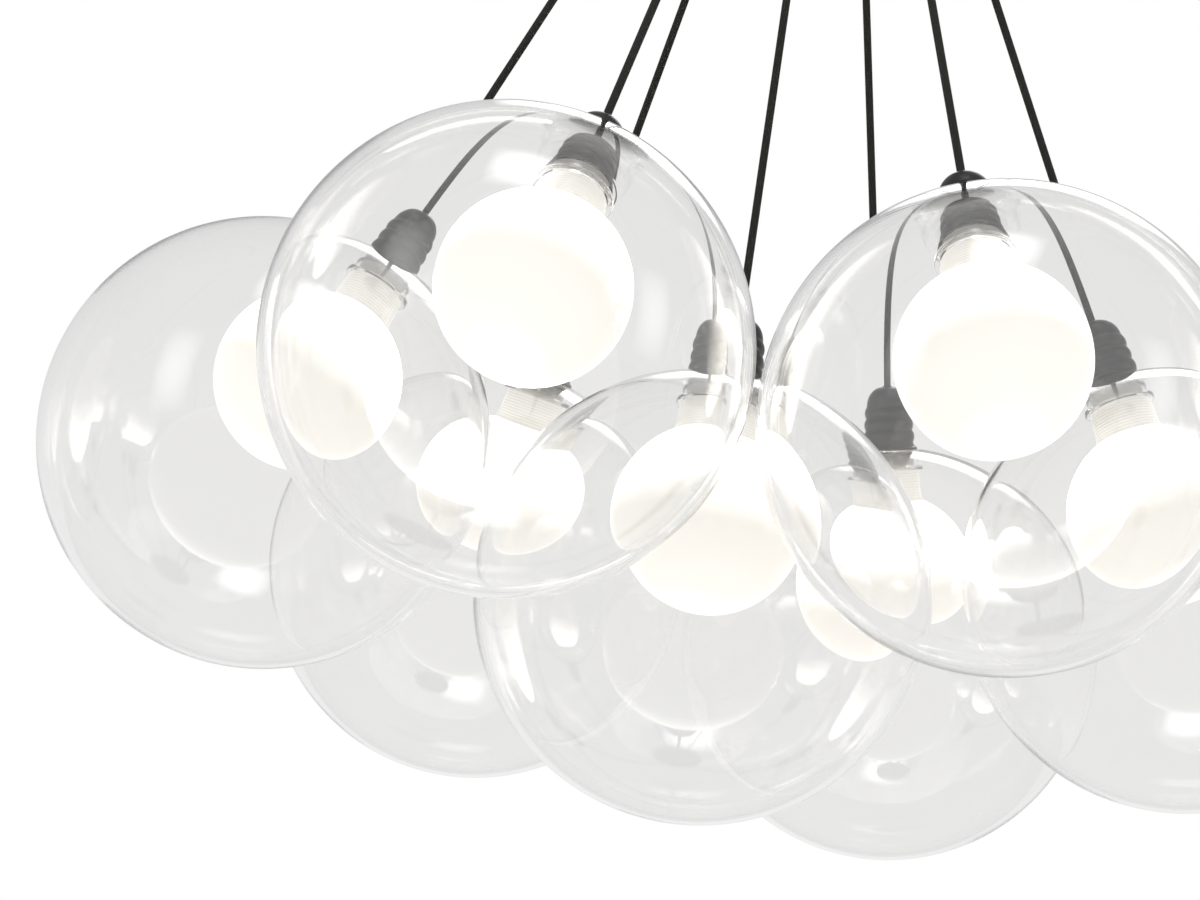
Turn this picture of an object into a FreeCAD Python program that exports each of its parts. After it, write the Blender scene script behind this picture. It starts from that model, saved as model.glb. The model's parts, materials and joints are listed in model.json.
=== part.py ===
import FreeCAD, Part
import math
import os

# Cluster pendant: seven clear glass globes, each with a lit opal ball inside, hang on cords of nearly equal
# length from one small ceiling canopy. Millimetres, +Z up. The origin is the middle of the ceiling plane that
# the canopy is screwed to, so everything hangs below z = 0. +Y points away from a person facing the cluster.

# ---- Driving dimensions -----------------------------------------------------------------------------------

# Clearances
turning_gap = 0.3  # between pieces that turn against each other
seat_gap = 0.1  # between pieces that are pushed or screwed into each other
screw_gap = 0.2  # round a screw that passes through a hole
bend_gap = 1.0  # between a leaning cord and the bell of its gland
hang_gap = 1.0  # least air between neighbouring globes

# Lamp with a standard screw base
lamp_base_radius = 13.1
lamp_base_length = 25.0
lamp_contact_radius = 5.0
lamp_contact_height = 2.0
lamp_shoulder_length = 12.0
lamp_bulb_radius = 16.5
lamp_bulb_length = 42.0

# Lamp socket
socket_wall = 2.2
socket_height = 28.0  # above the globe's mouth
socket_skirt_length = 13.0  # the threaded skirt in the glass collar

# Ribbed rubber holder
holder_height = 50.0
holder_wall = 1.7  # at the groove under the dome
holder_lip_edge = 1.6
holder_flare = 3.0  # how far the lip stands out from the lowest groove
holder_flare_height = 5.5
holder_ring_count = 3
holder_ring_pitch = 9.5
holder_ring_bulge = 1.5
holder_groove_growth = 0.7  # how much wider each groove is than the one above it
holder_mouth_wall = 1.55  # rubber round the cord where the dome ends
holder_mouth_round = 0.8

# Clear globe with its collar
globe_diameter = 300.0
globe_wall = 4.5
globe_rim = 2.5  # width of the ground mouth that the holder stands on
collar_wall = 2.8
collar_length = 16.0  # from the ground mouth down to the seal with the opal ball
seal_ring_width = 3.7
seal_ring_height = 3.0

# Opal ball with its neck
ball_diameter = 123.0
ball_wall = 2.5
neck_length = 24.0
neck_flare = 2.2  # how much wider the neck is where it meets the ball

# Cords
cord_diameter = 5.5
cord_length = 447.0  # from the point where a cord bends in its gland to the top of its holder
gland_circle_radius = 60.0
grip_wall = 3.4
grip_height = 8.0

# How far a pendant hangs outside the closest ring
front_right_outward = 5.0
back_right_outward = 10.0
right_outward = 18.0

# What a pendant's cord is longer by
front_right_cord_extra = 2.0
back_left_cord_extra = -10.0
back_right_cord_extra = 3.0
right_cord_extra = 5.0
centre_cord_extra = 11.0

# name, azimuth in degrees (0 is +X), outward, extra cord
RING_PENDANTS = (
    ("front_left", 240.0, 0.0, 0.0),
    ("front_right", 300.0, front_right_outward, front_right_cord_extra),
    ("left", 180.0, 0.0, 0.0),
    ("back_left", 120.0, 0.0, back_left_cord_extra),
    ("back_right", 60.0, back_right_outward, back_right_cord_extra),
    ("right", 0.0, right_outward, right_cord_extra),
)
CENTRE_PENDANT = "centre"

# Canopy
canopy_radius = 100.0
canopy_wall = 1.5
canopy_corner_radius = 9.0
wiring_gap = 6.5  # between the terminal block and the stems of the glands

# Mounting bracket, studs, nuts and screws
bracket_inset = 12.0  # from the canopy's outside to the bracket's ends
bracket_width = 24.0
bracket_thickness = 2.0
ceiling_slot_spacing = 88.9
ceiling_slot_width = 5.0
ceiling_slot_length = 14.0
stud_radius = 2.0
stud_inset = 8.0  # from the bracket's ends
stud_below_canopy = 7.0
nut_wall = 3.9
nut_end_wall = 1.9
nut_round = 1.5
screw_radius = 2.0
screw_head_overhang = 1.8
screw_head_height = 2.4

# Cord glands, their locknuts and the terminal block
gland_stem_wall = 1.9
gland_stem_above_nut = 3.5
gland_floor = 3.4  # between the canopy and the bell
gland_bell_depth = 3.6
gland_bell_angle = 57.0  # from the gland's axis to the side of the bell, in degrees
gland_bell_rim = 1.9
gland_body_round = 1.2
locknut_rim = 2.5  # least wall round the stem
locknut_height = 3.5
block_width = 44.0  # across its flats
block_height = 15.0
block_screw_spacing = 26.0
tail_straight = 2.0  # straight stretch of a cord above its gland's stem

# ---- Sizes that follow ------------------------------------------------------------------------------------

Vector = FreeCAD.Vector
UP = Vector(0, 0, 1)
ORIGIN = Vector(0, 0, 0)
DIAGONAL = math.sin(math.pi / 4)

# From the lamp outwards to the lip that stands on the glass
socket_bore_radius = lamp_base_radius + turning_gap
socket_radius = socket_bore_radius + socket_wall
holder_bore_radius = socket_radius + seat_gap
top_groove_radius = holder_bore_radius + holder_wall
low_groove_radius = top_groove_radius + holder_ring_count * holder_groove_growth
holder_lip_radius = low_groove_radius + holder_flare
collar_bore_radius = holder_lip_radius - globe_rim
collar_radius = collar_bore_radius + collar_wall

# Heights of one pendant, above the globe's middle
globe_radius = globe_diameter / 2
globe_inner_radius = globe_radius - globe_wall
mouth_z = math.sqrt(globe_radius**2 - holder_lip_radius**2)
collar_end_z = mouth_z - collar_length
ball_radius = ball_diameter / 2
neck_joint_radius = collar_radius + neck_flare
neck_joint_z = collar_end_z - neck_length
ball_z = neck_joint_z - math.sqrt(ball_radius**2 - neck_joint_radius**2)
skirt_end_z = mouth_z - socket_skirt_length
lamp_base_z = skirt_end_z - turning_gap
lamp_top_z = lamp_base_z + lamp_base_length + lamp_contact_height
socket_top_z = mouth_z + socket_height
holder_top_z = mouth_z + holder_height
cord_radius = cord_diameter / 2
cord_bore_radius = cord_radius + turning_gap
cord_end_z = socket_top_z + turning_gap
grip_radius = cord_bore_radius + grip_wall
grip_top_z = cord_end_z + grip_height
ring_radius = globe_diameter + hang_gap

# Inside the canopy, below the ceiling
stem_radius = cord_bore_radius + gland_stem_wall
stem_length = canopy_wall + locknut_height + gland_stem_above_nut
block_bottom_z = -bracket_thickness - block_height
stem_top_z = block_bottom_z - wiring_gap
plate_bottom_z = stem_top_z - stem_length
plate_top_z = plate_bottom_z + canopy_wall
tail_run_z = -bracket_thickness - block_height / 2
tail_bend_radius = tail_run_z - stem_top_z - tail_straight
bracket_length = 2 * (canopy_radius - bracket_inset)
stud_spacing = bracket_length - 2 * stud_inset
stud_end_z = plate_bottom_z - stud_below_canopy
slot_end_y = (ceiling_slot_spacing + ceiling_slot_length) / 2
earth_screw_y = -(slot_end_y + stud_spacing / 2) / 2

# Where the cords leave the canopy and bend
bell_slope = math.tan(math.radians(gland_bell_angle))
bell_radius = cord_bore_radius + gland_bell_depth * bell_slope
bell_throat_z = plate_bottom_z - gland_floor
gland_bottom_z = bell_throat_z - gland_bell_depth
gland_body_radius = bell_radius + gland_bell_rim
bend_from_bell = (cord_radius + bend_gap) / math.sin(math.radians(gland_bell_angle))
pivot_z = bell_throat_z + cord_bore_radius / bell_slope - bend_from_bell
tail_end_z = pivot_z + cord_radius + turning_gap


# ---- Drawing helpers --------------------------------------------------------------------------------------

def point(radius, z):
    """A point of a turned profile, by its radius and height."""
    return Vector(radius, 0, z)


def path(*points):
    """Straight edges from each (radius, z) to the next."""
    ends = [point(*p) for p in points]
    return [Part.LineSegment(a, b).toShape() for a, b in zip(ends, ends[1:]) if a.distanceToPoint(b) > 0]


def arc(start, middle, end):
    """An arc through three (radius, z) points."""
    return [Part.Arc(point(*start), point(*middle), point(*end)).toShape()]


def round_corner(radius, z, size, up):
    """A quarter circle between the flat at height z and the wall at the given radius. up is 1 or -1."""
    middle_radius = radius - size
    middle_z = z - up * size
    slant = DIAGONAL * size
    return arc((middle_radius, z), (middle_radius + slant, middle_z + up * slant), (radius, middle_z))


def above(radius, centre_z, out):
    """The upper (radius, z) point of a circle about (0, centre_z) at a given distance from the axis."""
    return (out, centre_z + math.sqrt(radius**2 - out**2))


def turned(*edge_lists):
    """The solid that a closed profile makes when it turns about the vertical axis."""
    edges = [edge for edges in edge_lists for edge in edges]
    profile = Part.Face(Part.Wire(Part.__sortEdges__(edges)))
    return profile.revolve(ORIGIN, UP, 360)


def rod(radius, low_z, high_z, x=0.0, y=0.0):
    """A round bar from one height to another."""
    return Part.makeCylinder(radius, high_z - low_z, Vector(x, y, low_z))


def bar(x_size, y_size, low_z, high_z, x=0.0, y=0.0):
    """A block centred on (x, y)."""
    corner = Vector(x - x_size / 2, y - y_size / 2, low_z)
    return Part.makeBox(x_size, y_size, high_z - low_z, corner)


def hexagon(across_flats, low_z, high_z):
    """A hexagonal prism with a flat that faces +X."""
    sides = 6
    corner_radius = across_flats / 2 / math.cos(math.pi / sides)
    corners = []
    for i in range(sides + 1):
        angle = (2 * i + 1) * math.pi / sides
        corners.append(Vector(corner_radius * math.cos(angle), corner_radius * math.sin(angle), low_z))
    return Part.Face(Part.makePolygon(corners)).extrude(UP * (high_z - low_z))


def moved(shape, x, y):
    """A copy of a shape at another place."""
    copy = shape.copy()
    copy.translate(Vector(x, y, 0))
    return copy


def both_sides(distance):
    """The y of a pair of like pieces, one on each side of the middle."""
    return (-distance / 2, distance / 2)


def export(name, shape):
    """Writes one node's STEP file."""
    if not shape.isValid() or shape.Volume <= 0:
        raise ValueError(f"{name} isn't a valid solid")
    shape.exportStep(f"parts/{name}.step")


# ---- One pendant, about its own axis, with the globe's middle at z = 0 ------------------------------------

def globe():
    """Clear glass globe with a ground mouth, an inward collar and the ring where the opal neck is sealed on."""
    seal_ring_radius = collar_radius + seal_ring_width
    seal_ring_top_z = collar_end_z + seal_ring_height
    mouth_edge = (holder_lip_radius, mouth_z)
    inner_top = above(globe_inner_radius, 0, collar_radius)
    return turned(
        arc((0, -globe_radius), (globe_radius, 0), mouth_edge),
        path(
            mouth_edge,
            (collar_bore_radius, mouth_z),
            (collar_bore_radius, collar_end_z),
            (seal_ring_radius, collar_end_z),
            (seal_ring_radius, seal_ring_top_z),
            (collar_radius, seal_ring_top_z),
            inner_top,
        ),
        arc(inner_top, (globe_inner_radius, 0), (0, -globe_inner_radius)),
        path((0, -globe_inner_radius), (0, -globe_radius)),
    )


def inner_ball():
    """Opal ball with the neck that is sealed to the end of the clear collar."""
    inner_radius = ball_radius - ball_wall
    outer_joint = (neck_joint_radius, neck_joint_z)
    inner_joint = above(inner_radius, ball_z, neck_joint_radius - ball_wall)
    return turned(
        arc((0, ball_z - ball_radius), (ball_radius, ball_z), outer_joint),
        path(
            outer_joint,
            (collar_radius, collar_end_z),
            (collar_radius - ball_wall, collar_end_z),
            inner_joint,
        ),
        arc(inner_joint, (inner_radius, ball_z), (0, ball_z - inner_radius)),
        path((0, ball_z - inner_radius), (0, ball_z - ball_radius)),
    )


def holder_outline():
    """The holder's outside, from the lip over the rounded rings to the end of the dome."""
    lip_top = (holder_lip_radius, mouth_z + holder_lip_edge)
    groove_radius = low_groove_radius
    groove_z = mouth_z + holder_flare_height
    flare_middle = (groove_radius + holder_flare / 4, mouth_z + holder_flare_height / 2)
    outline = arc(lip_top, flare_middle, (groove_radius, groove_z))
    for _ in range(holder_ring_count):
        next_radius = groove_radius - holder_groove_growth
        next_z = groove_z + holder_ring_pitch
        crest = ((groove_radius + next_radius) / 2 + holder_ring_bulge, (groove_z + next_z) / 2)
        outline += arc((groove_radius, groove_z), crest, (next_radius, next_z))
        groove_radius = next_radius
        groove_z = next_z
    dome_end = (cord_bore_radius + holder_mouth_wall, holder_top_z - holder_mouth_round)
    dome_width = groove_radius - dome_end[0]
    dome_height = dome_end[1] - groove_z
    dome_middle = (dome_end[0] + DIAGONAL * dome_width, groove_z + DIAGONAL * dome_height)
    return outline + arc((groove_radius, groove_z), dome_middle, dome_end) + path(
        dome_end, (dome_end[0] - holder_mouth_round, holder_top_z), (cord_bore_radius, holder_top_z)
    )


def holder_cap():
    """Ribbed rubber holder: flared lip, rounded rings and a dome that the cord enters."""
    grip_bore_radius = grip_radius + seat_gap
    return turned(
        holder_outline(),
        path(
            (cord_bore_radius, holder_top_z),
            (cord_bore_radius, grip_top_z),
            (grip_bore_radius, grip_top_z),
            (grip_bore_radius, socket_top_z),
            (holder_bore_radius, socket_top_z),
            (holder_bore_radius, mouth_z),
            (holder_lip_radius, mouth_z),
            (holder_lip_radius, mouth_z + holder_lip_edge),
        ),
    )


def lamp_socket():
    """Insulating socket body. Its skirt screws into the glass collar and its barrel fills the rubber holder."""
    skirt_radius = collar_bore_radius - turning_gap
    return turned(
        path(
            (0, lamp_top_z),
            (0, socket_top_z),
            (socket_radius, socket_top_z),
            (socket_radius, mouth_z),
            (skirt_radius, mouth_z),
            (skirt_radius, skirt_end_z),
            (socket_bore_radius, skirt_end_z),
            (socket_bore_radius, lamp_top_z),
            (0, lamp_top_z),
        )
    )


def cord_grip():
    """Bush that clamps the cord on top of the socket."""
    return turned(
        path(
            (cord_bore_radius, socket_top_z),
            (grip_radius, socket_top_z),
            (grip_radius, grip_top_z),
            (cord_bore_radius, grip_top_z),
            (cord_bore_radius, socket_top_z),
        )
    )


def led_lamp():
    """Small lamp: screw base with its contact, a widening shoulder and a round-ended bulb."""
    base_top_z = lamp_base_z + lamp_base_length
    shoulder_z = lamp_base_z - lamp_shoulder_length
    bulb_bottom_z = shoulder_z - lamp_bulb_length
    return turned(
        path(
            (0, bulb_bottom_z),
            (0, lamp_top_z),
            (lamp_contact_radius, lamp_top_z),
            (lamp_contact_radius, base_top_z),
            (lamp_base_radius, base_top_z),
            (lamp_base_radius, lamp_base_z),
            (lamp_bulb_radius, shoulder_z),
            (lamp_bulb_radius, bulb_bottom_z + lamp_bulb_radius),
        ),
        round_corner(lamp_bulb_radius, bulb_bottom_z, lamp_bulb_radius, -1),
    )


def hanging_cord(pivot_height):
    """Taut cord. Its upper end is a half ball about the point where it bends, its lower end is square."""
    top_z = pivot_height + cord_radius
    return turned(
        path((0, top_z), (0, cord_end_z), (cord_radius, cord_end_z), (cord_radius, pivot_height)),
        round_corner(cord_radius, top_z, cord_radius, 1),
    )


def hang(shape, azimuth, reach, pivot_height):
    """Puts a pendant's piece in its place, where reach is how far the globe hangs outside its gland."""
    angle = math.radians(azimuth)
    outward = Vector(math.cos(angle), math.sin(angle), 0)
    tangent = Vector(-math.sin(angle), math.cos(angle), 0)
    lean = math.degrees(math.asin(reach / pivot_height))
    drop = math.sqrt(pivot_height**2 - reach**2)
    gland_radius = gland_circle_radius if reach else 0.0
    placed = shape.copy()
    placed.Placement = FreeCAD.Placement(
        outward * (gland_radius + reach) + UP * (pivot_z - drop),
        FreeCAD.Rotation(tangent, -lean),
    )
    return placed


def export_pendant(name, azimuth, reach, cord_extra):
    """Writes the seven pieces of one pendant and prints its cord's length and its place."""
    pivot_height = holder_top_z + cord_length + cord_extra
    pieces = {
        "cord": hanging_cord(pivot_height),
        "cord_grip": cord_grip(),
        "holder_cap": holder_cap(),
        "lamp_socket": lamp_socket(),
        "led_lamp": led_lamp(),
        "inner_ball": inner_ball(),
        "globe": globe(),
    }
    for piece, shape in pieces.items():
        export(f"{piece}_{name}", hang(shape, azimuth, reach, pivot_height))
    run = pivot_height - cord_end_z
    drawn = pieces["cord"].Volume / (math.pi * cord_radius**2)
    print(f"{name}: cord {run:.1f} mm from pivot to socket, volume over section {drawn:.1f} mm")
    print(f"{name}: azimuth {azimuth:g}, reaches {reach:.1f} mm, pivot to globe's middle {pivot_height:.3f} mm")


# ---- Canopy -----------------------------------------------------------------------------------------------

def gland_places():
    """(x, y) of the middle gland and of one gland for each pendant of the ring."""
    places = [(0.0, 0.0)]
    for _, azimuth, _, _ in RING_PENDANTS:
        angle = math.radians(azimuth)
        places.append((gland_circle_radius * math.cos(angle), gland_circle_radius * math.sin(angle)))
    return places


def canopy_cup():
    """Round cup, open to the ceiling, with holes for the glands and the two studs."""
    inner_radius = canopy_radius - canopy_wall
    inner_corner_radius = canopy_corner_radius - canopy_wall
    flat_radius = canopy_radius - canopy_corner_radius
    cup = turned(
        path((flat_radius, plate_top_z), (0, plate_top_z), (0, plate_bottom_z), (flat_radius, plate_bottom_z)),
        round_corner(canopy_radius, plate_bottom_z, canopy_corner_radius, -1),
        path(
            (canopy_radius, plate_bottom_z + canopy_corner_radius),
            (canopy_radius, 0),
            (inner_radius, 0),
            (inner_radius, plate_top_z + inner_corner_radius),
        ),
        round_corner(inner_radius, plate_top_z, inner_corner_radius, -1),
    )
    holes = [rod(stem_radius + screw_gap, plate_bottom_z, plate_top_z, x, y) for x, y in gland_places()]
    for y in both_sides(stud_spacing):
        holes.append(rod(stud_radius + screw_gap, plate_bottom_z, plate_top_z, 0, y))
    return cup.cut(holes)


def ceiling_slot(y):
    """The cutter for one rounded slot along Y."""
    end_radius = ceiling_slot_width / 2
    straight = ceiling_slot_length - ceiling_slot_width
    slot = bar(ceiling_slot_width, straight, -bracket_thickness, 0, 0, y)
    for end_y in both_sides(straight):
        slot = slot.fuse(rod(end_radius, -bracket_thickness, 0, 0, y + end_y))
    return slot.removeSplitter()


def mounting_bracket():
    """Flat steel bar on the ceiling, with two slots for the ceiling screws and five tapped holes."""
    bracket = bar(bracket_width, bracket_length, -bracket_thickness, 0)
    cutters = [ceiling_slot(y) for y in both_sides(ceiling_slot_spacing)]
    for y in (*both_sides(block_screw_spacing), earth_screw_y):
        cutters.append(rod(screw_radius + seat_gap, -bracket_thickness, 0, 0, y))
    for y in both_sides(stud_spacing):
        cutters.append(rod(stud_radius + seat_gap, -bracket_thickness, 0, 0, y))
    return bracket.cut(cutters)


def canopy_studs():
    """Two threaded studs, screwed through the bracket, which the canopy is pushed up over."""
    return Part.makeCompound([rod(stud_radius, stud_end_z, 0, 0, y) for y in both_sides(stud_spacing)])


def canopy_nuts():
    """Two blind nuts that hold the canopy up on the studs."""
    bore_radius = stud_radius + seat_gap
    bore_top_z = stud_end_z - seat_gap
    radius = bore_radius + nut_wall
    bottom_z = bore_top_z - nut_end_wall
    nut = turned(
        path(
            (radius, bottom_z + nut_round),
            (radius, plate_bottom_z),
            (bore_radius, plate_bottom_z),
            (bore_radius, bore_top_z),
            (0, bore_top_z),
            (0, bottom_z),
            (radius - nut_round, bottom_z),
        ),
        round_corner(radius, bottom_z, nut_round, -1),
    )
    return Part.makeCompound([moved(nut, 0, y) for y in both_sides(stud_spacing)])


def cord_gland():
    """Gland with a stem through the canopy and a bell mouth that lets its cord lean."""
    return turned(
        path(
            (gland_body_radius, gland_bottom_z + gland_body_round),
            (gland_body_radius, plate_bottom_z),
            (stem_radius, plate_bottom_z),
            (stem_radius, stem_top_z),
            (cord_bore_radius, stem_top_z),
            (cord_bore_radius, bell_throat_z),
            (bell_radius, gland_bottom_z),
            (gland_body_radius - gland_body_round, gland_bottom_z),
        ),
        round_corner(gland_body_radius, gland_bottom_z, gland_body_round, -1),
    )


def gland_locknut():
    """Hexagonal nut that draws a gland up against the canopy."""
    top_z = plate_top_z + locknut_height
    nut = hexagon(2 * (stem_radius + locknut_rim), plate_top_z, top_z)
    return nut.cut(rod(stem_radius + seat_gap, plate_top_z, top_z))


def terminal_block():
    """Hexagonal block under the bracket: one flat for each cord of the ring, its underside for the middle one."""
    block = hexagon(block_width, block_bottom_z, -bracket_thickness)
    screw_places = both_sides(block_screw_spacing)
    return block.cut([rod(screw_radius + screw_gap, block_bottom_z, -bracket_thickness, 0, y) for y in screw_places])


def pan_screw(seat_z, y):
    """Screw whose head bears up against seat_z and whose shank ends at the ceiling."""
    head_bottom_z = seat_z - screw_head_height
    head = rod(screw_radius + screw_head_overhang, head_bottom_z, seat_z, 0, y)
    return head.fuse(rod(screw_radius, head_bottom_z, 0, 0, y)).removeSplitter()


def block_screws():
    """The two screws that hold the terminal block to the bracket."""
    return Part.makeCompound([pan_screw(block_bottom_z, y) for y in both_sides(block_screw_spacing)])


def cord_tail(x, y):
    """The end of a cord inside the canopy: up through its gland, then round to its side of the block."""
    out = math.hypot(x, y)
    if out < block_width / 2:
        return rod(cord_radius, tail_end_z, block_bottom_z, x, y)
    inward = Vector(-x / out, -y / out, 0)
    foot = Vector(x, y, tail_end_z)
    bend_start = Vector(x, y, tail_run_z - tail_bend_radius)
    slant = DIAGONAL * tail_bend_radius
    bend_middle = bend_start + inward * (tail_bend_radius - slant) + UP * slant
    bend_end = Vector(x, y, tail_run_z) + inward * tail_bend_radius
    block_face = Vector(0, 0, tail_run_z) - inward * (block_width / 2)
    route = Part.Wire(
        [
            Part.LineSegment(foot, bend_start).toShape(),
            Part.Arc(bend_start, bend_middle, bend_end).toShape(),
            Part.LineSegment(bend_end, block_face).toShape(),
        ]
    )
    section = Part.Wire([Part.Circle(foot, UP, cord_radius).toShape()])
    return route.makePipeShell([section], True, False)


def export_canopy():
    """Writes the canopy's pieces."""
    glands = gland_places()
    export("canopy_cup", canopy_cup())
    export("mounting_bracket", mounting_bracket())
    export("canopy_studs", canopy_studs())
    export("canopy_nuts", canopy_nuts())
    export("cord_glands", Part.makeCompound([moved(cord_gland(), x, y) for x, y in glands]))
    export("gland_locknuts", Part.makeCompound([moved(gland_locknut(), x, y) for x, y in glands]))
    export("cord_tails", Part.makeCompound([cord_tail(x, y) for x, y in glands]))
    export("terminal_block", terminal_block())
    export("block_screws", block_screws())
    export("earth_screw", pan_screw(-bracket_thickness, earth_screw_y))


os.makedirs("parts", exist_ok=True)
export_canopy()
for name, azimuth, outward, cord_extra in RING_PENDANTS:
    export_pendant(name, azimuth, ring_radius + outward - gland_circle_radius, cord_extra)
export_pendant(CENTRE_PENDANT, 0.0, 0.0, centre_cord_extra)
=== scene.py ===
import json
import math
from types import SimpleNamespace

import bmesh
import bpy
from bpy.props import FloatProperty, FloatVectorProperty, IntProperty, PointerProperty
from mathutils import Matrix, Vector

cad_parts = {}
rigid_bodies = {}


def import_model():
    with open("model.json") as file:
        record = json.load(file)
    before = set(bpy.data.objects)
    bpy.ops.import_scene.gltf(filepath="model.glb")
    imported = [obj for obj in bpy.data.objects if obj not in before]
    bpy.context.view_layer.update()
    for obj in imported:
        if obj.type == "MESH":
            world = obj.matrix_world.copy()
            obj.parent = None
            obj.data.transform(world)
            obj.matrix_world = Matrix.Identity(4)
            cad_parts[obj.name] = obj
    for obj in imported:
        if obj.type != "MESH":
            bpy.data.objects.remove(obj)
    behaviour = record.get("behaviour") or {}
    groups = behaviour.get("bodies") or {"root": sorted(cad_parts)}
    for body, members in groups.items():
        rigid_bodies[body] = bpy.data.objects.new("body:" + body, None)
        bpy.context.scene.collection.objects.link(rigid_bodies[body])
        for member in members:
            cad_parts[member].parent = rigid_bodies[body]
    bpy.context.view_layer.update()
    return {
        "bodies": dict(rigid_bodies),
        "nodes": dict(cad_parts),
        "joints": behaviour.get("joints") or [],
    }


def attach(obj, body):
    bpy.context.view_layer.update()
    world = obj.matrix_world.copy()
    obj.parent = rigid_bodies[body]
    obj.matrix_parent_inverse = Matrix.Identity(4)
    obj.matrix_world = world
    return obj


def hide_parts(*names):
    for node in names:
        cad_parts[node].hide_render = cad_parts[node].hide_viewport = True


bl_info = {
    "name": "Cluster pendant",
    "version": (1, 0, 0),
    "blender": (4, 5, 0),
    "location": "3D View > Sidebar > Cluster pendant",
    "description": "Finishes a cluster of seven pendants: globes, opal balls, holders, cords and canopy",
    "category": "Object",
}

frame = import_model()

MM = 0.001
PENDANTS = [body.removeprefix("swing_") for body in frame["bodies"] if body.startswith("swing_")]
JOINTS = {joint["name"]: joint for joint in frame["joints"]}
RING_END_STATIONS = (  # (way towards the block, height) of a cord end's control points, in metres
    (0.0, -0.03484),
    (0.0, -0.022),
    (0.0035, -0.0125),
    (0.014, -0.008),
    (0.025, -0.008),
    (0.038, -0.0095),
)
CENTRE_END_STATIONS = ((0.0, -0.03484), (0.0, -0.026), (0.0, -0.017))
NECK_THREADS = 11
THREAD_LIGHT, THREAD_DEPTH = 0.86, 0.14  # mean and swing of the brightness of the neck's threads
THREAD_ONSET = 40  # how steeply the threads set in above the ball

# Fineness of the meshes
GLOBE_SEGMENTS, GLOBE_STEPS = 160, 96
BALL_SEGMENTS, BALL_STEPS, BALL_INSIDE_STEPS, THREAD_STEPS = 128, 64, 40, 6
HOLDER_SEGMENTS, LIP_STEPS, RING_STEPS, DOME_STEPS = 96, 8, 12, 16
CORD_SEGMENTS, CORD_TOP_STEPS, CORD_END_SIDES = 32, 8, 20
FLOOR_SEGMENTS = 96

# Small sizes that have no slider
GLASS_SEAM = 0.05 * MM  # between the collar's end and the opal neck
THREAD_BOW = 0.18 * MM  # how far a thread of the neck stands out
LIP_SEAM = 0.02 * MM  # between the globe's mouth and the holder's lip
LIP_BOW = -0.7 * MM  # hollow of the flare above the lip
MOUTH_WALL = 1.55 * MM  # rubber round the cord at the top of the dome
MOUTH_STEP = 0.8 * MM  # chamfer there
GRIP_WALL, GRIP_HEIGHT = 3.5 * MM, 8.0 * MM  # space for the cord grip
GLASS_EDGE, RUBBER_EDGE = (0.6 * MM, 3), (0.35 * MM, 3)  # width and steps of the rounded edges
ROUNDED_ANGLE, CREASE_ANGLE = math.radians(35), math.radians(40)  # from here on an edge is sharp
MERGE_DISTANCE, AXIS_DISTANCE = 0.001 * MM, 0.01 * MM  # points nearer than this are one, or on the axis
FLOOR_RADIUS = 14.0

GLASS_IOR = 1.5
CORD_STRANDS = 8
UV_LAYER = "wrap"
SEAM_FROM, SEAM_TO = 0.6, 0.4  # shares of a turn before and after the seam of the UV
LIGHT_BOUNCES, MIRROR_BOUNCES = 40, 12  # a ray crosses four faces of glass in every globe
OVERHEAD_SLOPE = 1.6  # how soon reflections from above are darkest
LAMP_FADE = 36  # brings the mean of a lamp's fade back to one
GLOW_STOPS = (  # (way up the ball, brightness) of the lit opal glass; the last is its neck
    (0.0, 0.17),
    (0.06, 0.13),
    (0.4, 0.118),
    (0.52, 0.16),
    (0.68, 0.5),
    (0.85, 1.0),
    (0.975, 1.0),
    (1.0, 0.09),
)
AXIAL = "axial"  # point attribute: where a point is on its own pendant, with Z along the pendant's axis


# ---- Sizes and colours ------------------------------------------------------------------------------------


def length(name, description, millimetres):
    """A length in metres that a user can change."""
    return FloatProperty(
        name=name, description=description, default=millimetres * MM, min=0.0, unit="LENGTH", precision=5
    )


def colour(name, description, default):
    """A linear colour that a user can change."""
    return FloatVectorProperty(
        name=name, description=description, default=default, size=3, min=0.0, max=1.0, subtype="COLOR"
    )


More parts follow.
